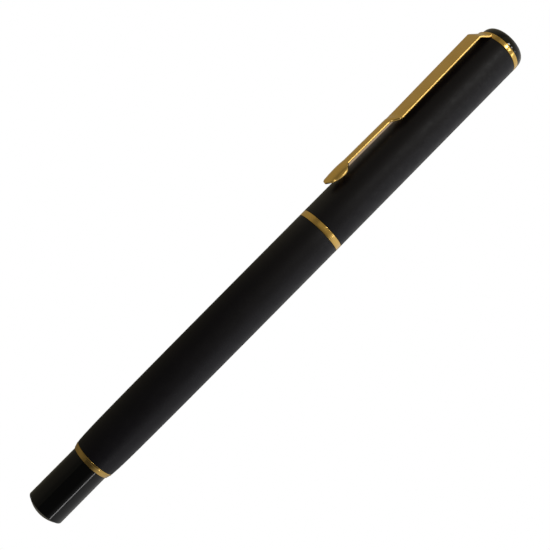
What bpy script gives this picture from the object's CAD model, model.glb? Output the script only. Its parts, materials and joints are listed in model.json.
"""A capped rollerball pen lying at rest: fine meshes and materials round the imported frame.

Stations (s) run along the pen's axis from the tail's tip, and radii and heights from the axis, all
in millimetres. place() turns them into the frame's metres.
"""
import json
import math

import bmesh
import bpy
from mathutils import Matrix, Vector


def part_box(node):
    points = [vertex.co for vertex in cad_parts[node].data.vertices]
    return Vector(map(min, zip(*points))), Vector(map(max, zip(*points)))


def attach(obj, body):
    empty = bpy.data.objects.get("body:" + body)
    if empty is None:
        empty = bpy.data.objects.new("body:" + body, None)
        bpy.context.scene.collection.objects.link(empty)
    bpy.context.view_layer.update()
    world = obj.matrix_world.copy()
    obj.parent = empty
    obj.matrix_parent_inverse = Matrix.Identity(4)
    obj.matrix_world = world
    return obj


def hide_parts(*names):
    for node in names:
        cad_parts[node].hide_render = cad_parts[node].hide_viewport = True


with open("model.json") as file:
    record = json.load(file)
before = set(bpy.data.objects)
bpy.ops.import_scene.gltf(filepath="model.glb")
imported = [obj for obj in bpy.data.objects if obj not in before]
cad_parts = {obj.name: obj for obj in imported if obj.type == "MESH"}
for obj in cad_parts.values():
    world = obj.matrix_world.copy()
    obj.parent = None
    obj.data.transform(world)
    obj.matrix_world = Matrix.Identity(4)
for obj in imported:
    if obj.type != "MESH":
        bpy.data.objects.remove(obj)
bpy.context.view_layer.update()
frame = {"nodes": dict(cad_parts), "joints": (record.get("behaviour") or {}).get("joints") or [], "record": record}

MM = 0.001
JOINTS = {joint["name"]: joint for joint in frame["joints"]}
BODY_OF = {
    node: body
    for body, nodes in frame["record"]["behaviour"]["bodies"].items()
    for node in nodes
}

# ---- the pen's own axes, from the frame ----
AXIS = Vector(JOINTS["section_turn"]["pos_m"])
TAIL_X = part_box("tail_plug")[1].x
ALONG = Vector((-1, 0, 0))
ACROSS = -Vector(JOINTS["clip_flex"]["axis"])
OUTWARD = ACROSS.cross(ALONG)


def place(across, station, height):
    """A point of the pen in the frame: across the clip, along the axis, out towards the clip."""
    base = Vector((TAIL_X, AXIS.y, AXIS.z))
    return base + MM * (across * ACROSS + station * ALONG + height * OUTWARD)


def ends(node):
    """The first and last station of a CAD node."""
    low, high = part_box(node)
    return (TAIL_X - high.x) / MM, (TAIL_X - low.x) / MM


def radius(node):
    """The outer radius of a turned CAD node."""
    low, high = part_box(node)
    return max(high.y - low.y, high.z - low.z) / 2 / MM


# ---- how the meshes are made ----
SEGMENTS = 144  # round the outside of the pen
INNER_SEGMENTS = 96
BALL_SEGMENTS = 48
SHARP_ANGLE = math.radians(32)
FILLET = 0.07  # broken edge of a turned piece
SMALL_FILLET = 0.05
FILLET_STEPS = 4
SEAT = 0.05  # gap between pieces that touch end to end
SLIP = 0.08  # radial gap between pieces that fit in each other

# ---- sizes that the frame's boxes don't give ----
# Barrel
PLUG_DOME_R = 7
PLUG_FLAT_R = 1.5
PLUG_EDGE_R = 0.2
PLUG_EDGE_ANGLE = -55  # where the rounded edge leaves the dome, in degrees
PLUG_SPIGOT_R = 4.2
PLUG_BORE_R = 3.3
PLUG_FLOOR = 2.2
TAIL_RING_BACK_R = 4.5
TAIL_RING_BAND = 0.4
BARREL_DRAW = ((0.32, 18), (0.18, 2))  # how far the tail end is drawn in, and over what length
BARREL_BORE_R = 4.6
BARREL_BORE_START = 24
BARREL_STEP = 1  # length of plain bore past the plug's spigot
BUSH_BORE_R = 4.05
BUSH_LIP = 0.3
THREAD_LEAD = 0.75
THREAD_DEPTH = 0.34
THREAD_RINGS = 10  # rings of the mesh for each turn of the thread
THREAD_CREST = 0.12  # share of a turn that the flat crest takes up
THREAD_FLANKS = 0.72
GASKET_ROUND = 0.25

# Spring and refill
SPRING_R = 2.4
WIRE_R = 0.2
SPRING_TURNS = 6
SPRING_STEPS = 40  # for each turn
WIRE_SIDES = 12
SPRING_EVEN_SHARE = 0.35  # the rest of the pitch is opened out between the end coils
SPRING_CLOSED = 0.08  # share of the spring's turns that lies closed at each end
REFILL_BORE_R = 2.75
REFILL_SPIGOT_R = 2.67
REFILL_NECK_R = 1.9
REFILL_VENT_R = 0.4
REFILL_GROOVE = ((1.4, 0), (1.6, 0.2), (2.3, 0.2), (2.5, 0))  # round the vent: radius and depth
CRIMP_IN = 1.4  # from the tube's end to the middle of its crimp
CRIMP_HALF = 0.6
CRIMP_FLOOR_HALF = 0.25
CRIMP_DEPTH = 0.12
CRIMP_ROUND = 0.2
COLLAR_FLANGE = 1.05
RIB_COUNT = 4
RIB_PITCH = 1.5
RIB_LINE = ((1.2, 0), (1.35, 0.15), (1.65, 0.15), (1.8, 0))  # a rib's place and depth
WICK_BORE_R = 0.72
# the steel tip's outline, as (radius, station) points
TIP_SHOULDER = ((1.5, 113.05), (1.6, 113.15), (1.6, 113.7), (1.52, 113.82), (1.2, 114.5))
TIP_SHANK_R = 1.12
TIP_SHANK = (114.65, 119.35)
TIP_NECK = ((1.06, 119.45), (0.95, 119.9))
TIP_CONE = ((0.5, 121.62), (0.46, 121.75))
TIP_LIP_R = 0.42
INK_CONE = ((0.2, 116.4), (WICK_BORE_R, 116.1))
SOCKET_R = 0.39
SOCKET_ANGLES = (31, -59)  # from the lip over the ball's equator to its back, in degrees

# Front section
SECTION_BORE_R = 3.25
SECTION_SPIGOT_R = 3.7
THREAD_CHAMFER = 0.35
THREAD_RELIEF = 1.2  # plain stretch between the thread and the shoulder
SHOULDER_BACK = 0.2  # the shoulder stands this far behind the ring
GRIP_WAIST = 98
GRIP_WAIST_R = 4.0
GRIP_FRONT_R = 3.3
GRIP_BOW = 0.1
GRIP_SHOULDER = 105.3
NOSE_SPIGOT_R = 2.7
NOSE_BORE_R = 2.05
NOSE_BORE_END = 114
NOSE_HOLE_R = 1.24
NOSE_HOLE_START = 115
NOSE_TIP_R = 1.42
NOSE_BOW = (2.75, 116, 1.2)  # radius, station and rounding of the cone's bulge
O_RING_SEAT_R = 3.95
O_RING_ROUND = 0.35

# Cap
CAP_BORE_R = 4.85
CAP_TOP_THICK = 1.2
LIP_SLEEVE_R = 4.76
LIP_BORE_R = 4.6
LINER_BORE_R = 4.56
LINER_THROAT_R = 3.6
LINER_THROAT = 112.5
LINER_THROAT_CONE = 1
LINER_FLOOR = 130
LINER_ROUND = 0.4
STUD_R = 2.4
STUD_BORE_R = 2.5
STUD_HOLE_R = 1.53
STUD_HOLE_END = 134.9
SCREW_HOLE_R = 1.6
FINIAL_FLAT_R = 4
FINIAL_RIM = 0.25

# Clip: stations along it, heights of its outer face over the axis, and half widths
CLIP_THICK = 0.45
CLIP_EDGE_R = 0.1
CLIP_HALF_WIDE = 2.1
CLIP_NECK_HALF = 0.95
CLIP_LEAF_HALF = 2
CLIP_TIP_HALF = 0.03
CLIP_LEAF_WIDEST = 91.4
CLIP_LEAF_END = 93.7
CLIP_NECK_END = 105.7
CLIP_SHOULDER_END = 108.3
CLIP_BEND_START = 131.6
CLIP_BEND_END = 133.9
CLIP_BEND_REACH = 0.5
CLIP_TIP_H = 7.45
CLIP_LEAF_H = 7.75
CLIP_NECK_H = 7.6
CLIP_NECK_END_H = 7.47
CLIP_PLATE_H = 6.67
CLIP_HUMP_H = 7.05
CLIP_ROOT_H = 5.72
CLIP_PAD = 1.6  # extra depth of the pressed pad under the leaf
CLIP_PAD_HALF_LONG = 1.15
CLIP_PAD_FALL = 1.5  # how the pad rounds off across
LEAF_FULLNESS = 2.4  # how long the leaf stays wide
LEAF_BLUNTNESS = 0.52  # under 1 rounds its tip, and 1 makes it sharp
LEAF_CROWN_R = 2.4  # radius of the arch across leaf and neck
PLATE_CROWN_R = 30
ROOT_CROWN_R = 5.55

# ---- stage, in metres; stations stay in millimetres ----
CAMERA_DISTANCE = 0.175  # from the camera to what it looks at
LENS = 55.35
ELEVATION = math.radians(29.4)
TURN = math.radians(4.2)
SLANT = math.radians(45.25)  # how the pen runs across the picture
CAMERA_STATION = 67.2  # what the camera looks at
CAMERA_RISE = 0.19  # and how many millimetres to the side of the axis
WHITE = (1, 1, 1)
MIX_COLOURS = (6, 7)  # a Mix node's sockets for colours, by number because their names repeat
MIX_COLOUR_RESULT = 2
FLOOR_HALF = 3
FLOOR_GREY = (0.10, 0.10, 0.10)
FLOOR_GLOW = (1, 0.90, 0.62)  # what the pen's gold and lacquer reflect from below
FLOOR_NEAR = 0.30  # strength of that glow under the cap
FLOOR_FADE = 0.4  # share of it that is left in front of the pen, and again under the barrel
FLOOR_FADE_Y = (-0.022, -0.004)  # from in front of the pen to under it
FLOOR_FADE_X = (-0.018, 0.012)  # from under the cap to under the barrel
SKY_DARK = (0.045, 0.044, 0.042)  # in front, on the tail's side
SKY_FRONT = (0.30, 0.275, 0.19)  # in front, on the cap's side
SKY_BACK = (0.72, 0.72, 0.72)  # behind, on the cap's side
SKY_BACK_DIM = (0.46, 0.46, 0.46)  # behind, on the tail's side
SKY_FADE_X = (-0.14, 0.06)  # of a direction's X, from the cap's side to the tail's
SKY_FADE_Y = (-0.5, 0.4)  # and of its Y, from the front to the back
GAP_SHADE = (0.37, 0.28, 0.19)  # the floor's colour in the pen's shade
GAP_STATIONS = (94.2, 108.6)
GAP_Y = (-0.0034, 0.0009)
GAP_LIFT = 0.00003  # how far the strip lies over the floor
GAP_REACH = 0.006  # how near a piece must be to shade it
GAP_OPEN = (0.22, 0.42)  # from shaded to open
FINIAL_AT = (-0.066, 0, 0.005)
LIGHTS = (  # name, place, what it faces, size, power
    ("overhead", (-0.30, 0, 0.7), (-0.066, 0, 0), (0.30, 0.07), 0.17),
    ("tail", (0.27, 0, 0.7), (0.066, 0, 0), (0.12, 0.05), 0.10),
    ("front_low", (-0.276, -0.337, 0.308), FINIAL_AT, (0.07, 0.07), 0.24),
    ("front_high", (-0.276, -0.21, 0.405), FINIAL_AT, (0.05, 0.05), 0.06),
)


# ---- mesh makers ----
def finished(name, bm):
    """The bmesh as an object with its faces out, smooth but for its sharp edges."""
    bmesh.ops.recalc_face_normals(bm, faces=bm.faces)
    mesh = bpy.data.meshes.new(name)
    bm.to_mesh(mesh)
    bm.free()
    mesh.shade_smooth()
    mesh.set_sharp_from_angle(angle=SHARP_ANGLE)
    piece = bpy.data.objects.new(name, mesh)
    bpy.context.scene.collection.objects.link(piece)
    return piece


def stitch(bm, loops, closed=False):
    """Quads between neighbouring loops of points, and if closed between the last and the first.

    A loop of one point makes a fan.
    """
    pairs = list(zip(loops, loops[1:]))
    if closed:
        pairs.append((loops[-1], loops[0]))
    for a, b in pairs:
        count = max(len(a), len(b))
        for i in range(count):
            j = (i + 1) % count
            corners = [a[i % len(a)], a[j % len(a)], b[j % len(b)], b[i % len(b)]]
            unique = list(dict.fromkeys(corners))
            if len(unique) > 2:
                bm.faces.new(unique)


def rounded(corners):
    """A closed outline with its corners rounded: each corner is (radius, station[, fillet])."""
    points = []
    most = 0.45  # of an edge that a fillet may take up
    for i, corner in enumerate(corners):
        here = Vector(corner[:2])
        fillet = corner[2] if len(corner) > 2 else 0
        back = Vector(corners[i - 1][:2]) - here
        ahead = Vector(corners[(i + 1) % len(corners)][:2]) - here
        if not fillet:
            points.append(tuple(here))
            continue
        half = back.angle(ahead) / 2
        reach = min(fillet / math.tan(half), most * back.length, most * ahead.length)
        start, end = here + reach * back.normalized(), here + reach * ahead.normalized()
        for k in range(FILLET_STEPS + 1):
            t = k / FILLET_STEPS
            points.append(tuple((1 - t) ** 2 * start + 2 * t * (1 - t) * here + t ** 2 * end))
    return points


def lathe(name, outline, segments=SEGMENTS, closed=True):
    """A turned piece from its outline of (radius, station) points."""
    bm = bmesh.new()
    loops = []
    for r, s in outline:
        turns = [2 * math.pi * i / segments for i in range(segments)] if r > 1e-6 else [0]
        loops.append([
            bm.verts.new(place(r * math.cos(a), s, r * math.sin(a))) for a in turns
        ])
    stitch(bm, loops, closed)
    return finished(name, bm)


def tube(node, inner, fillet=FILLET, segments=SEGMENTS):
    """A plain ring or tube with broken edges, as long and as wide as its CAD node."""
    start, end = ends(node)
    outer = radius(node)
    return lathe(node + "_fine", rounded([
        (inner, start, fillet), (outer, start, fillet), (outer, end, fillet), (inner, end, fillet),
    ]), segments)


def smooth(t):
    """Eases from 0 to 1, level at both ends."""
    t = min(max(t, 0), 1)
    return t * t * (3 - 2 * t)


def thread_height(turn):
    """How deep the thread is cut at a point of its turn, from 0 on the crest to 1 in the root."""
    from_crest = abs(2 * (turn % 1) - 1)
    return smooth((from_crest - THREAD_CREST) / THREAD_FLANKS)


def threaded(name, rings):
    """A turned piece whose rings are (radius, station, thread depth), screwed right-handed."""
    bm = bmesh.new()
    loops = []
    for r, s, depth in rings:
        loop = []
        for i in range(INNER_SEGMENTS):
            share = i / INNER_SEGMENTS
            a = 2 * math.pi * share
            cut = depth * thread_height(s / THREAD_LEAD + share) if depth else 0
            loop.append(bm.verts.new(place((r - cut) * math.cos(a), s, (r - cut) * math.sin(a))))
        loops.append(loop)
    stitch(bm, loops, closed=True)
    return finished(name, bm)


def thread_rings(r, start, end, depth):
    """Rings along a threaded stretch, with the thread running out at both ends."""
    count = round((end - start) / THREAD_LEAD * THREAD_RINGS)
    rings = []
    for i in range(count + 1):
        s = start + (end - start) * i / count
        fade = smooth((s - start) / THREAD_LEAD) * smooth((end - s) / THREAD_LEAD)
        rings.append((r, s, depth * fade))
    return rings


def arc(centre_r, centre_s, size, start, end, steps):
    """Points on an arc in the section, from one angle to another, 0 pointing outwards."""
    turns = [math.radians(start + (end - start) * i / steps) for i in range(steps + 1)]
    return [(centre_r + size * math.cos(a), centre_s + size * math.sin(a)) for a in turns]


def bezier(p0, p1, p2, p3, steps):
    """Points on a cubic curve, the first one left out."""
    points = []
    for i in range(1, steps + 1):
        t = i / steps
        weights = ((1 - t) ** 3, 3 * t * (1 - t) ** 2, 3 * t * t * (1 - t), t ** 3)
        points.append(tuple(
            sum(w * p[axis] for w, p in zip(weights, (p0, p1, p2, p3))) for axis in (0, 1)
        ))
    return points


# ---- barrel ----
def barrel_radius(s):
    """Outside radius of the barrel: full at the mouth, drawn in towards the tail ring."""
    reach = s - ends("barrel_tube")[0]
    return radius("barrel_tube") - sum(drop * math.exp(-reach / over) for drop, over in BARREL_DRAW)


def barrel_tube():
    start, end = ends("barrel_tube")
    spigot_bore = PLUG_SPIGOT_R + SLIP
    spigot_end = ends("tail_plug")[1]
    bush_start = ends("barrel_bush")[0] - SEAT
    bush_bore = radius("barrel_bush") + SLIP
    steps, first, last = 40, start + 0.25, end - 0.75  # closest together at the tail
    stations = [first + (last - first) * (i / steps) ** 1.8 for i in range(steps)]
    return lathe("barrel_tube_fine", rounded([
        (spigot_bore, start, FILLET), (barrel_radius(start), start, FILLET),
        *[(barrel_radius(s), s) for s in stations],
        (barrel_radius(end), end, FILLET), (bush_bore, end, FILLET), (bush_bore, bush_start),
        (BARREL_BORE_R, bush_start), (BARREL_BORE_R, BARREL_BORE_START),
        (spigot_bore, spigot_end + BARREL_STEP),
    ]))


def barrel_bush():
    start, end = ends("barrel_bush")
    outer = radius("barrel_bush")
    bore = thread_rings(BUSH_BORE_R, start + BUSH_LIP, end - BUSH_LIP, -THREAD_DEPTH)
    rings = [
        (BUSH_BORE_R + BUSH_LIP, start, 0), (outer, start, 0), (outer, end, 0),
        (BUSH_BORE_R + BUSH_LIP, end, 0), *reversed(bore),
    ]
    return threaded("barrel_bush_fine", rings)


def tail_ring():
    """A short cone with a narrow straight band on the barrel's side."""
    start, end = ends("tail_ring")
    bore, outer = PLUG_SPIGOT_R + SLIP, radius("tail_ring")
    band, bevel = end - TAIL_RING_BAND, 0.05
    return lathe("tail_ring_fine", rounded([
        (bore, start), (TAIL_RING_BACK_R, start, FILLET), (outer - bevel, band, SMALL_FILLET),
        (outer, band + bevel, SMALL_FILLET), (outer, end, FILLET), (bore, end),
    ]))


def plug_dome(r):
    """Station of the plug's domed end at a radius."""
    return math.sqrt(PLUG_DOME_R ** 2 - PLUG_FLAT_R ** 2) - math.sqrt(PLUG_DOME_R ** 2 - r * r)


def tail_plug():
    shoulder, end = ends("tail_ring")[0] - SEAT, ends("tail_plug")[1]
    outer, steps, bevel = radius("tail_plug"), 10, 0.05
    edge = outer - PLUG_EDGE_R
    dome = [PLUG_FLAT_R + (edge - PLUG_FLAT_R) * i / steps for i in range(steps + 1)]
    return lathe("tail_plug_fine", [
        (0, 0), (PLUG_FLAT_R - 0.3, 0), *[(r, plug_dome(r)) for r in dome],
        *arc(edge, plug_dome(edge) + PLUG_EDGE_R, PLUG_EDGE_R, PLUG_EDGE_ANGLE, 0, 8),
        (outer, shoulder - bevel), (outer - bevel, shoulder), (PLUG_SPIGOT_R, shoulder),
        (PLUG_SPIGOT_R, end), (PLUG_BORE_R, end), (PLUG_BORE_R, PLUG_FLOOR), (0, PLUG_FLOOR),
    ], closed=False)


def refill_spring():
    """Helical wire with its end coils closed up."""
    start, end = ends("refill_spring")
    low, high = start + WIRE_R, end - WIRE_R
    steps = SPRING_TURNS * SPRING_STEPS
    bm = bmesh.new()
    loops = []
    for i in range(steps + 1):
        t = i / steps
        a = 2 * math.pi * SPRING_TURNS * t
        opened = smooth((t - SPRING_CLOSED) / (1 - 2 * SPRING_CLOSED))
        s = low + (high - low) * (SPRING_EVEN_SHARE * t + (1 - SPRING_EVEN_SHARE) * opened)
        loop = []
        for k in range(WIRE_SIDES):
            b = 2 * math.pi * k / WIRE_SIDES
            r = SPRING_R + WIRE_R * math.cos(b)
            point = place(r * math.cos(a), s + WIRE_R * math.sin(b), r * math.sin(a))
            loop.append(bm.verts.new(point))
        loops.append(loop)
    stitch(bm, loops)
    for loop in (loops[0], loops[-1]):
        bm.faces.new(loop)
    return finished("refill_spring_fine", bm)


def thread_gasket():
    return tube("thread_gasket", BUSH_BORE_R, fillet=GASKET_ROUND, segments=INNER_SEGMENTS)


# ---- refill ----
def refill_tube():
    """Steel tube with a rolled crimp behind each fitting."""
    start, end = ends("refill_tube")
    outer = radius("refill_tube")
    floor = outer - CRIMP_DEPTH
    crimps = [
        point
        for centre in (start + CRIMP_IN, end - CRIMP_IN)
        for point in (
            (outer, centre - CRIMP_HALF, CRIMP_ROUND), (floor, centre - CRIMP_FLOOR_HALF, CRIMP_ROUND),
            (floor, centre + CRIMP_FLOOR_HALF, CRIMP_ROUND), (outer, centre + CRIMP_HALF, CRIMP_ROUND),
        )
    ]
    return lathe("refill_tube_fine", rounded([
        (REFILL_BORE_R, start), (outer, start, FILLET), *crimps, (outer, end, FILLET),
        (REFILL_BORE_R, end),
    ]), INNER_SEGMENTS)


def refill_plug():
    """Rear plug with a groove round its air vent."""
    start, end = ends("refill_plug")
    outer, flange = radius("refill_plug"), ends("refill_tube")[0] - SEAT
    return lathe("refill_plug_fine", rounded([
        (REFILL_VENT_R, start, 0.1), *[(r, start + depth, 0.1) for r, depth in REFILL_GROOVE],
        (outer, start, 0.15), (outer, flange, FILLET), (REFILL_SPIGOT_R, flange),
        (REFILL_SPIGOT_R, end, FILLET), (REFILL_VENT_R, end),
    ]), INNER_SEGMENTS)


def refill_collar():
    """Front fitting: a flange that seats in the grip, and a ribbed neck."""
    start, end = ends("refill_collar")
    outer, flange = radius("refill_collar"), ends("refill_tube")[1] + SEAT
    front = flange + COLLAR_FLANGE
    ribs = [
        (REFILL_NECK_R - depth, front + along + RIB_PITCH * i, 0.1)
        for i in range(RIB_COUNT) for along, depth in RIB_LINE
    ]
    return lathe("refill_collar_fine", rounded([
        (WICK_BORE_R, start), (REFILL_SPIGOT_R, start, FILLET), (REFILL_SPIGOT_R, flange),
        (outer, flange, FILLET), (outer, front, 0.15), (REFILL_NECK_R + 0.1, front, 0.1),
        (REFILL_NECK_R, front + 0.3), *ribs, (REFILL_NECK_R, end, FILLET), (WICK_BORE_R, end),
    ]), INNER_SEGMENTS)


def refill_tip():
    """Steel tip: shoulder, shank, cone and the crimped socket that holds the ball."""
    start = ends("refill_tip")[0]
    ball = sum(ends("writing_ball")) / 2
    socket = arc(0, ball, SOCKET_R, *SOCKET_ANGLES, 14)
    return lathe("refill_tip_fine", [
        (WICK_BORE_R, start), *TIP_SHOULDER, *[(TIP_SHANK_R, s) for s in TIP_SHANK], *TIP_NECK,
        *TIP_CONE, (TIP_LIP_R, socket[0][1]), *socket, *INK_CONE,
    ], INNER_SEGMENTS)


def writing_ball():
    start, end = ends("writing_ball")
    size, centre = (end - start) / 2, (start + end) / 2
    return lathe("writing_ball_fine", [
        (max(r, 0), s) for r, s in arc(0, centre, size, -90, 90, 32)
    ], BALL_SEGMENTS, closed=False)


# ---- front section ----
def section_thread():
    start, end = ends("section_thread")
    outer, bevel = radius("section_thread"), 0.05
    shoulder = ends("section_ring")[0] - SHOULDER_BACK
    relief = shoulder - THREAD_RELIEF
    rings = [
        (SECTION_BORE_R, start, 0), (outer - THREAD_CHAMFER, start, 0),
        *thread_rings(outer, start + THREAD_CHAMFER, relief, THREAD_DEPTH),
        (outer, relief + 0.1, 0), (outer, shoulder - bevel, 0), (outer - bevel, shoulder, 0),
        (SECTION_SPIGOT_R, shoulder, 0), (SECTION_SPIGOT_R, end, 0), (SECTION_BORE_R, end, 0),
    ]
    return threaded("section_thread_fine", rings)


def section_ring():
    return tube("section_ring", SECTION_SPIGOT_R + SLIP)


def grip_radius(s):
    """Outside radius of the grip: straight to the waist, then bowed out towards the nose."""
    start, end = ends("grip_section")
    back = radius("grip_section")
    if s < GRIP_WAIST:
        share = (s - start) / (GRIP_WAIST - start)
        return back + (GRIP_WAIST_R - back) * share
    share = (s - GRIP_WAIST) / (end - GRIP_WAIST)
    bow = GRIP_BOW * math.sin(math.pi * share)
    return GRIP_WAIST_R + (GRIP_FRONT_R - GRIP_WAIST_R) * share + bow


def grip_section():
    start, end = ends("grip_section")
    low, high = ends("section_o_ring")
    groove_start, groove_end = low - SEAT, high + SEAT
    bore, socket = SECTION_SPIGOT_R + SLIP, NOSE_SPIGOT_R + SLIP
    spigot_end = ends("section_thread")[1] + SEAT
    socket_end = ends("nose_cone")[0] - SEAT
    steps = 12
    front = [GRIP_WAIST + (end - GRIP_WAIST) * i / steps for i in range(steps)]
    return lathe("grip_section_fine", rounded([
        (bore, start), (radius("grip_section"), start, 0.1),
        (grip_radius(groove_start), groove_start, 0.06), (O_RING_SEAT_R, groove_start),
        (O_RING_SEAT_R, groove_end), (grip_radius(groove_end), groove_end, 0.06),
        *[(grip_radius(s), s) for s in front],
        (GRIP_FRONT_R, end, FILLET), (socket, end), (socket, socket_end),
        (NOSE_BORE_R, socket_end), (NOSE_BORE_R, GRIP_SHOULDER), (SECTION_BORE_R, GRIP_SHOULDER),
        (SECTION_BORE_R, spigot_end), (bore, spigot_end),
    ]))


def section_o_ring():
    return tube("section_o_ring", O_RING_SEAT_R + SEAT, fillet=O_RING_ROUND)


def nose_cone():
    start, end = ends("nose_cone")
    shoulder = ends("grip_section")[1] + SEAT
    return lathe("nose_cone_fine", rounded([
        (NOSE_BORE_R, start), (NOSE_SPIGOT_R, start, FILLET), (NOSE_SPIGOT_R, shoulder),
        (GRIP_FRONT_R, shoulder, FILLET), (GRIP_FRONT_R - 0.05, shoulder + 0.5, 0.1),
        NOSE_BOW, (NOSE_TIP_R, end, 0.12), (NOSE_HOLE_R, end, 0.06),
        (NOSE_HOLE_R, NOSE_HOLE_START), (NOSE_BORE_R, NOSE_BORE_END),
    ]))


# ---- cap ----
def cap_lip_ring():
    start, end = ends("cap_lip_ring")
    outer, shoulder = radius("cap_lip_ring"), ends("cap_tube")[0] - SEAT
    return lathe("cap_lip_ring_fine", rounded([
        (LIP_BORE_R, start, 0.12), (outer, start, 0.1), (outer, shoulder, FILLET),
        (LIP_SLEEVE_R, shoulder), (LIP_SLEEVE_R, end, FILLET), (LIP_BORE_R, end, FILLET),
    ]))


def cap_tube():
    """The cap's outside tapers a little towards its closed end."""
    start, end = ends("cap_tube")
    outer, top = radius("cap_tube"), radius("clip_collar")
    under_top, steps = end - CAP_TOP_THICK, 6
    middle = [
        (outer + (top - outer) * i / steps, start + (end - start) * i / steps)
        for i in range(1, steps)
    ]
    return lathe("cap_tube_fine", rounded([
        (CAP_BORE_R, start, FILLET), (outer, start, FILLET), *middle, (top, end, FILLET),
        (STUD_BORE_R, end, FILLET), (STUD_BORE_R, under_top), (CAP_BORE_R, under_top),
    ]))


def inner_cap():
    start, end = ends("inner_cap")
    outer, cone_end = radius("inner_cap"), LINER_THROAT + LINER_THROAT_CONE
    return lathe("inner_cap_fine", rounded([
        (LINER_BORE_R, start, 0.06), (outer, start, 0.06), (outer, end, 0.1),
        (SCREW_HOLE_R, end), (SCREW_HOLE_R, LINER_FLOOR), (LINER_THROAT_R, LINER_FLOOR, 0.3),
        (LINER_THROAT_R, cone_end, LINER_ROUND), (LINER_BORE_R, LINER_THROAT, LINER_ROUND),
    ]))


def clip_collar():
    return tube("clip_collar", STUD_BORE_R, fillet=0.1)


def finial():
    """Domed disc with a short straight rim, on its tapped stud."""
    start = ends("clip_collar")[1] + SEAT
    low, end = ends("finial")
    outer, rim_end, bevel = radius("finial"), start + FINIAL_RIM, 0.04
    rim = [
        (FINIAL_FLAT_R + (outer - FINIAL_FLAT_R) * out, rim_end + (end - rim_end) * up)
        for out, up in arc(0, 0, 1, 0, 90, 18)
    ]
    return lathe("finial_fine", [
        (0, STUD_HOLE_END), (STUD_HOLE_R, STUD_HOLE_END), (STUD_HOLE_R, low), (STUD_R, low),
        (STUD_R, start), (outer - bevel, start), (outer, start + bevel), *rim, (0, end),
    ], closed=False)


def lock_washer():
    return tube("lock_washer", SCREW_HOLE_R, fillet=SMALL_FILLET, segments=INNER_SEGMENTS)


# ---- clip ----
def clip_top():
    """Outer line of the clip's side view: (station, height) from the leaf's tip to the root."""
    tip, root = ends("clip_arm")
    third = (CLIP_SHOULDER_END - CLIP_NECK_END) / 3
    curves = (  # each with its two control points, its end and its steps
        # leaf, up to its widest and down to the neck
        ((tip + 0.8, CLIP_LEAF_H - 0.1), (CLIP_LEAF_WIDEST - 1.4, CLIP_LEAF_H),
         (CLIP_LEAF_WIDEST, CLIP_LEAF_H), 20),
        ((CLIP_LEAF_WIDEST + 1, CLIP_LEAF_H), (CLIP_LEAF_END - 0.7, CLIP_NECK_H + 0.08),
         (CLIP_LEAF_END, CLIP_NECK_H), 14),
        # neck, and the shoulder down to the plate
        ((98, 7.56), (102, 7.51), (CLIP_NECK_END, CLIP_NECK_END_H), 12),
        ((CLIP_NECK_END + third, CLIP_NECK_END_H), (CLIP_SHOULDER_END - third, CLIP_PLATE_H),
         (CLIP_SHOULDER_END, CLIP_PLATE_H), 14),
        # plate, its bend and its root on the collar
        ((116, 6.8), (124, 6.93), (CLIP_BEND_START, CLIP_HUMP_H), 16),
        ((CLIP_BEND_START + CLIP_BEND_REACH, CLIP_HUMP_H),
         (CLIP_BEND_END - CLIP_BEND_REACH, CLIP_ROOT_H), (CLIP_BEND_END, CLIP_ROOT_H), 16),
        ((CLIP_BEND_END, CLIP_ROOT_H), (root, CLIP_ROOT_H), (root, CLIP_ROOT_H), 3),
    )
    line = [(tip, CLIP_TIP_H)]
    for ahead, back, point, steps in curves:
        line += bezier(line[-1], ahead, back, point, steps)
    return line


def clip_half_width(s):
    """Half the clip's width at a station: leaf, neck, shoulders and the wide plate."""
    tip = ends("clip_arm")[0]
    if s < CLIP_LEAF_WIDEST:
        share = (CLIP_LEAF_WIDEST - s) / (CLIP_LEAF_WIDEST - tip)
        half = CLIP_LEAF_HALF * max(1 - share ** LEAF_FULLNESS, 0) ** LEAF_BLUNTNESS
        return max(half, CLIP_TIP_HALF)
    if s < CLIP_LEAF_END:
        share = (s - CLIP_LEAF_WIDEST) / (CLIP_LEAF_END - CLIP_LEAF_WIDEST)
        return CLIP_NECK_HALF + (CLIP_LEAF_HALF - CLIP_NECK_HALF) * (1 - share ** LEAF_FULLNESS)
    share = (s - CLIP_NECK_END) / (CLIP_SHOULDER_END - CLIP_NECK_END)
    return CLIP_NECK_HALF + (CLIP_HALF_WIDE - CLIP_NECK_HALF) * smooth(share)


def clip_crown_radius(s):
    """Radius of the arch across: tight on leaf and neck, wide on the plate, closer at the root."""
    if s < CLIP_SHOULDER_END:
        share = smooth((s - CLIP_NECK_END) / (CLIP_SHOULDER_END - CLIP_NECK_END))
        return LEAF_CROWN_R + (PLATE_CROWN_R - LEAF_CROWN_R) * share ** 3
    share = smooth((s - CLIP_BEND_START) / (CLIP_BEND_END - CLIP_BEND_START))
    return 1 / (1 / PLATE_CROWN_R + (1 / ROOT_CROWN_R - 1 / PLATE_CROWN_R) * share)


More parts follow.
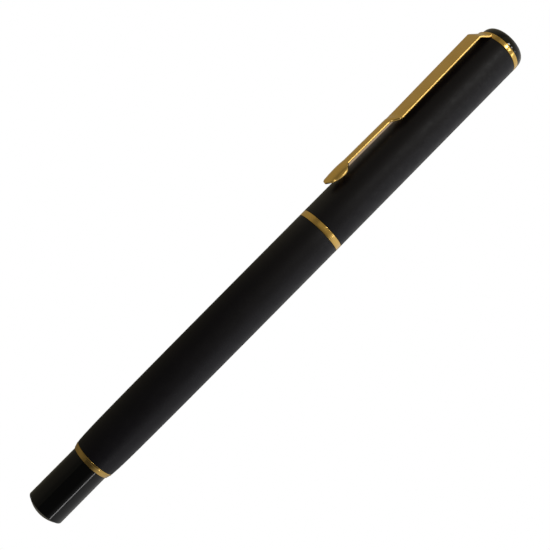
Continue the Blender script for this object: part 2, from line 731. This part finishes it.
def clip_section(s, top, slope):
    """The strip's cross-section as (across, height) points: outer face, edge, inner face, edge."""
    half = clip_half_width(s)
    crown = clip_crown_radius(s)
    thick = CLIP_THICK * math.hypot(1, slope)
    pad = CLIP_PAD * math.exp(-(((s - CLIP_LEAF_WIDEST) / CLIP_PAD_HALF_LONG) ** 2))
    edge = min(CLIP_EDGE_R, 0.45 * half)
    flat = half - edge
    across_steps, edge_steps = 16, 4

    def outer(b):
        return top - crown + math.sqrt(crown ** 2 - b * b)

    def inner(b):
        return outer(b) - thick - pad * max(1 - (b / CLIP_LEAF_HALF) ** 2, 0) ** CLIP_PAD_FALL

    across = [-flat + 2 * flat * k / across_steps for k in range(across_steps + 1)]
    turns = [math.pi / 2 * k / edge_steps for k in range(edge_steps)]
    drop = [(edge * math.sin(a), edge * (1 - math.cos(a))) for a in turns]
    rise = [(edge * math.cos(a), edge * (1 - math.sin(a))) for a in turns]
    return [
        *[(b, outer(b)) for b in across],
        *[(flat + out, outer(flat) - down) for out, down in drop[1:]],
        *[(flat + out, inner(flat) + up) for out, up in rise],
        *[(b, inner(b)) for b in reversed(across)],
        *[(-flat - out, inner(flat) + up) for out, up in drop[1:]],
        *[(-flat - out, outer(flat) - down) for out, down in rise],
    ]


def clip_arm():
    """The stamped strip, built as a row of cross-sections."""
    line = clip_top()
    bm = bmesh.new()
    loops = []
    for i, (s, top) in enumerate(line):
        before, after = line[max(i - 1, 0)], line[min(i + 1, len(line) - 1)]
        slope = (after[1] - before[1]) / (after[0] - before[0])
        section = clip_section(s, top, slope)
        loops.append([bm.verts.new(place(b, s, h)) for b, h in section])
    stitch(bm, loops)
    for loop in (loops[0], loops[-1]):
        bm.faces.new(loop)
    return finished("clip_arm_fine", bm)


# ---- materials ----
TURNED = (1, 0.02, 0.02)  # grain in rings round the pen
DRAWN = (0.02, 1, 1)  # grain along the pen
NOISE_RANGE = (0.3, 0.7)  # what most of a noise lies between


class Look:
    """A Principled material, with short ways of adding texture to it."""

    def __init__(self, name, **sockets):
        self.material = bpy.data.materials.new(name)
        self.material.use_nodes = True
        self.tree = self.material.node_tree
        self.shader = self.tree.nodes["Principled BSDF"]
        for socket, value in sockets.items():
            self.shader.inputs[socket.replace("_", " ")].default_value = value
        self.bump_normal = None

    def node(self, kind, **inputs):
        made = self.tree.nodes.new(kind)
        for name, value in inputs.items():
            made.inputs[name.replace("_", " ")].default_value = value
        return made

    def noise(self, scale, detail, stretch=(1, 1, 1)):
        """Noise in the object's own metres; stretch gives the grain its direction."""
        where = self.tree.nodes.new("ShaderNodeTexCoord")
        mapping = self.node("ShaderNodeMapping", Scale=stretch)
        texture = self.node("ShaderNodeTexNoise", Scale=scale, Detail=detail)
        self.tree.links.new(where.outputs["Object"], mapping.inputs["Vector"])
        self.tree.links.new(mapping.outputs["Vector"], texture.inputs["Vector"])
        return texture.outputs["Fac"]

    def spread(self, source, socket, low, high):
        """Drives a number of the shader with a texture, between two values."""
        least, most = NOISE_RANGE
        ranged = self.node(
            "ShaderNodeMapRange", From_Min=least, From_Max=most, To_Min=low, To_Max=high)
        self.tree.links.new(source, ranged.inputs["Value"])
        self.tree.links.new(ranged.outputs["Result"], self.shader.inputs[socket])

    def tint(self, source, dark, light):
        """Drives the base colour with a texture, between two colours."""
        ramp = self.tree.nodes.new("ShaderNodeValToRGB")
        for element, position, colour in zip(ramp.color_ramp.elements, NOISE_RANGE, (dark, light)):
            element.position = position
            element.color = (*colour, 1)
        self.tree.links.new(source, ramp.inputs["Fac"])
        self.tree.links.new(ramp.outputs["Color"], self.shader.inputs["Base Color"])

    def bump(self, source, strength, depth):
        """Adds a layer of relief, depth in millimetres."""
        made = self.node("ShaderNodeBump", Strength=strength, Distance=depth * MM)
        self.tree.links.new(source, made.inputs["Height"])
        if self.bump_normal:
            self.tree.links.new(self.bump_normal, made.inputs["Normal"])
        self.bump_normal = made.outputs["Normal"]
        self.tree.links.new(self.bump_normal, self.shader.inputs["Normal"])


def matte_lacquer():
    look = Look("matte_lacquer", Metallic=0.0, Roughness=0.45, Specular_IOR_Level=0.36)
    look.tint(look.noise(180, 4), (0.0026, 0.0018, 0.0058), (0.0042, 0.0032, 0.0080))
    look.spread(look.noise(700, 3), "Roughness", 0.42, 0.52)
    look.bump(look.noise(14000, 2), 0.35, 0.004)
    look.bump(look.noise(2600, 2), 0.12, 0.01)
    return look.material


def gloss_plastic():
    look = Look("gloss_black_plastic", Metallic=0.0, Roughness=0.1, IOR=1.5)
    look.tint(look.noise(120, 3), (0.0010, 0.0010, 0.0011), (0.0022, 0.0020, 0.0022))
    look.spread(look.noise(900, 3), "Roughness", 0.06, 0.13)
    look.bump(look.noise(9000, 3, TURNED), 0.05, 0.003)
    return look.material


def gold_plate(name, grain):
    look = Look(name, Metallic=1.0, Roughness=0.2, Coat_Weight=0.2, Coat_Roughness=0.05)
    look.tint(look.noise(260, 4), (0.75, 0.475, 0.125), (0.83, 0.535, 0.155))
    look.spread(look.noise(1400, 4), "Roughness", 0.15, 0.24)
    look.bump(look.noise(11000, 3, grain), 0.10, 0.004)
    return look.material


def turned_metal(name, dark, light, low, high):
    look = Look(name, Metallic=1.0)
    look.tint(look.noise(400, 4), dark, light)
    look.spread(look.noise(5000, 3, TURNED), "Roughness", low, high)
    look.bump(look.noise(12000, 2, TURNED), 0.25, 0.006)
    return look.material


def drawn_wire():
    look = Look("spring_wire", Metallic=1.0)
    look.tint(look.noise(2500, 4), (0.36, 0.36, 0.37), (0.52, 0.52, 0.53))
    look.spread(look.noise(6000, 3), "Roughness", 0.25, 0.4)
    look.bump(look.noise(15000, 2), 0.15, 0.004)
    return look.material


def black_rubber():
    look = Look("black_rubber", Metallic=0.0, Roughness=0.75)
    look.tint(look.noise(900, 4), (0.012, 0.012, 0.012), (0.026, 0.025, 0.025))
    look.spread(look.noise(3000, 3), "Roughness", 0.68, 0.85)
    look.bump(look.noise(16000, 3), 0.35, 0.01)
    return look.material


def moulded_plastic(name, dark, light, low, high):
    look = Look(name, Metallic=0.0, IOR=1.48)
    look.tint(look.noise(300, 4), dark, light)
    look.spread(look.noise(2200, 3), "Roughness", low, high)
    look.bump(look.noise(9000, 3), 0.2, 0.006)
    return look.material


def inked_fibre():
    look = Look("inked_fibre", Metallic=0.0, Roughness=0.9)
    look.tint(look.noise(6000, 4, DRAWN), (0.004, 0.006, 0.03), (0.02, 0.03, 0.10))
    look.bump(look.noise(9000, 4, DRAWN), 0.6, 0.03)
    return look.material


# ---- dressing the pen ----
def dress(piece, node, material):
    """Puts a fine piece in its CAD node's place."""
    piece.data.materials.clear()
    piece.data.materials.append(material)
    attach(piece, BODY_OF[node])
    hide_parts(node)


def dress_cad(node, material):
    """Gives a CAD node that stays its finished material."""
    mesh = frame["nodes"][node].data
    mesh.materials.clear()
    mesh.materials.append(material)


def build_pen():
    lacquer = matte_lacquer()
    gloss = gloss_plastic()
    gold_turned = gold_plate("gold_plate_turned", TURNED)
    gold_drawn = gold_plate("gold_plate_clip", DRAWN)
    brass = turned_metal("turned_brass", (0.50, 0.36, 0.14), (0.62, 0.46, 0.20), 0.22, 0.38)
    steel = turned_metal("turned_steel", (0.50, 0.50, 0.51), (0.62, 0.62, 0.63), 0.2, 0.34)
    rubber = black_rubber()
    liner = moulded_plastic(
        "liner_plastic", (0.020, 0.020, 0.021), (0.032, 0.032, 0.033), 0.5, 0.62)
    refill_white = moulded_plastic(
        "refill_plastic", (0.66, 0.65, 0.61), (0.76, 0.75, 0.72), 0.35, 0.48)
    fibre = inked_fibre()
    pieces = {
        "barrel_tube": (barrel_tube, lacquer), "barrel_bush": (barrel_bush, brass),
        "tail_ring": (tail_ring, gold_turned), "tail_plug": (tail_plug, gloss),
        "refill_spring": (refill_spring, drawn_wire()), "thread_gasket": (thread_gasket, rubber),
        "refill_tube": (refill_tube, steel), "refill_plug": (refill_plug, refill_white),
        "refill_collar": (refill_collar, refill_white), "refill_tip": (refill_tip, steel),
        "writing_ball": (writing_ball, steel), "section_thread": (section_thread, brass),
        "section_ring": (section_ring, gold_turned), "grip_section": (grip_section, gloss),
        "section_o_ring": (section_o_ring, rubber), "nose_cone": (nose_cone, gold_turned),
        "cap_lip_ring": (cap_lip_ring, gold_turned), "cap_tube": (cap_tube, lacquer),
        "inner_cap": (inner_cap, liner), "clip_collar": (clip_collar, gold_turned),
        "finial": (finial, gloss), "lock_washer": (lock_washer, steel),
        "clip_arm": (clip_arm, gold_drawn),
    }
    for node, (make, material) in pieces.items():
        dress(make(), node, material)
    dress_cad("cap_screw", steel)
    dress_cad("ink_filler", fibre)
    dress_cad("feed_wick", fibre)


# ---- stage ----
def make_camera():
    """Looks at the pen's middle from the clip's side, rolled so that the pen runs up to the right."""
    back = Vector((
        math.sin(TURN), -math.cos(ELEVATION) * math.cos(TURN), math.sin(ELEVATION) * math.cos(TURN),
    )).normalized()
    along = (ALONG - ALONG.dot(back) * back).normalized()
    side = back.cross(along)
    aim = place(0, CAMERA_STATION, 0) + CAMERA_RISE * MM * side
    right = math.cos(SLANT) * along - math.sin(SLANT) * side
    up = math.sin(SLANT) * along + math.cos(SLANT) * side
    camera = bpy.data.objects.new("camera", bpy.data.cameras.new("camera"))
    camera.data.lens = LENS
    camera.data.clip_start = 0.01
    turned = Matrix((right, up, back)).transposed()
    camera.matrix_world = Matrix.Translation(aim + CAMERA_DISTANCE * back) @ turned.to_4x4()
    bpy.context.scene.collection.objects.link(camera)
    bpy.context.scene.camera = camera


def white_to_camera(tree, rest, output, kind):
    """Shows plain white to the camera, and something else to reflections and light."""
    path = tree.nodes.new("ShaderNodeLightPath")
    white = tree.nodes.new(kind)
    white.inputs["Color"].default_value = (*WHITE, 1)
    mix = tree.nodes.new("ShaderNodeMixShader")
    tree.links.new(path.outputs["Is Camera Ray"], mix.inputs[0])
    tree.links.new(rest, mix.inputs[1])
    tree.links.new(white.outputs[0], mix.inputs[2])
    tree.links.new(mix.outputs[0], output.inputs["Surface"])


def split_of(tree, coordinates):
    """The X, Y and Z of a kind of coordinates."""
    where = tree.nodes.new("ShaderNodeTexCoord")
    split = tree.nodes.new("ShaderNodeSeparateXYZ")
    tree.links.new(where.outputs[coordinates], split.inputs["Vector"])
    return split


def graded(tree, source, stretch, low, high):
    """A number that goes smoothly from one value to another as the source goes over a stretch."""
    made = tree.nodes.new("ShaderNodeMapRange")
    made.interpolation_type = "SMOOTHSTEP"
    values = {"From Min": stretch[0], "From Max": stretch[1], "To Min": low, "To Max": high}
    for name, value in values.items():
        made.inputs[name].default_value = value
    tree.links.new(source, made.inputs["Value"])
    return made.outputs["Result"]


def blended(tree, share, first, second):
    """One colour going over into another; a colour is a tuple or a node's output."""
    made = tree.nodes.new("ShaderNodeMix")
    made.data_type = "RGBA"
    tree.links.new(share, made.inputs["Factor"])
    for number, colour in zip(MIX_COLOURS, (first, second)):
        socket = made.inputs[number]
        if isinstance(colour, tuple):
            socket.default_value = (*colour, 1)
        else:
            tree.links.new(colour, socket)
    return made.outputs[MIX_COLOUR_RESULT]


def stage_sheet(name, x_ends, y_ends, height):
    """A level rectangle for the stage, with the node tree of its new material."""
    bm = bmesh.new()
    (x0, x1), (y0, y1) = x_ends, y_ends
    corners = ((x0, y0), (x1, y0), (x1, y1), (x0, y1))
    bm.faces.new([bm.verts.new((x, y, height)) for x, y in corners])
    sheet = finished(name, bm)
    material = bpy.data.materials.new(name)
    material.use_nodes = True
    sheet.data.materials.append(material)
    return material.node_tree


def make_floor():
    """A wide surface under the pen: white to the camera, and a warm glow in the pen's reflections.

    The glow is strongest under and behind the cap, and weaker in front of the pen and at the barrel.
    """
    reach = (-FLOOR_HALF, FLOOR_HALF)
    tree = stage_sheet("floor", reach, reach, 0)
    shader = tree.nodes["Principled BSDF"]
    shader.inputs["Base Color"].default_value = (*FLOOR_GREY, 1)
    shader.inputs["Roughness"].default_value = 0.9
    shader.inputs["Specular IOR Level"].default_value = 0.1
    split = split_of(tree, "Object")
    near = graded(tree, split.outputs["Y"], FLOOR_FADE_Y, FLOOR_FADE, 1)
    along = graded(tree, split.outputs["X"], FLOOR_FADE_X, FLOOR_NEAR, FLOOR_FADE * FLOOR_NEAR)
    glow = tree.nodes.new("ShaderNodeMath")
    glow.operation = "MULTIPLY"
    tree.links.new(near, glow.inputs[0])
    tree.links.new(along, glow.inputs[1])
    tree.links.new(glow.outputs["Value"], shader.inputs["Emission Strength"])
    shader.inputs["Emission Color"].default_value = (*FLOOR_GLOW, 1)
    output = tree.nodes["Material Output"]
    white_to_camera(tree, shader.outputs["BSDF"], output, "ShaderNodeEmission")


def make_gap_shade():
    """The strip of floor seen between the clip's neck and the cap, shaded while they cover it."""
    x_ends = [place(0, s, 0).x for s in GAP_STATIONS]
    tree = stage_sheet("gap_shade", x_ends, GAP_Y, GAP_LIFT)
    covered = tree.nodes.new("ShaderNodeAmbientOcclusion")
    covered.inputs["Distance"].default_value = GAP_REACH
    open_share = graded(tree, covered.outputs["AO"], GAP_OPEN, 0, 1)
    glow = tree.nodes.new("ShaderNodeEmission")
    tree.links.new(blended(tree, open_share, GAP_SHADE, WHITE), glow.inputs["Color"])
    output = tree.nodes["Material Output"]
    tree.links.new(glow.outputs["Emission"], output.inputs["Surface"])


def area_light(name, where, towards, size, power):
    light = bpy.data.lights.new(name, "AREA")
    light.shape = "RECTANGLE"
    light.size, light.size_y = size
    light.energy = power
    holder = bpy.data.objects.new(name, light)
    holder.location = where
    facing = Vector(towards) - Vector(where)
    holder.rotation_euler = facing.to_track_quat("-Z", "X").to_euler()
    bpy.context.scene.collection.objects.link(holder)


def make_world():
    """Bright behind the pen and dimmer in front of it, and darker on the tail's side."""
    world = bpy.data.worlds.new("studio")
    world.use_nodes = True
    tree = world.node_tree
    split = split_of(tree, "Generated")
    tail_side = graded(tree, split.outputs["X"], SKY_FADE_X, 0, 1)
    behind = graded(tree, split.outputs["Y"], SKY_FADE_Y, 0, 1)
    front_colour = blended(tree, tail_side, SKY_FRONT, SKY_DARK)
    back_colour = blended(tree, tail_side, SKY_BACK, SKY_BACK_DIM)
    studio = tree.nodes["Background"]
    tree.links.new(blended(tree, behind, front_colour, back_colour), studio.inputs["Color"])
    output = tree.nodes["World Output"]
    white_to_camera(tree, studio.outputs["Background"], output, "ShaderNodeBackground")
    bpy.context.scene.world = world


make_camera()
build_pen()
make_floor()
make_gap_shade()
make_world()
for light in LIGHTS:
    area_light(*light)
bpy.context.scene.view_settings.view_transform = "Standard"
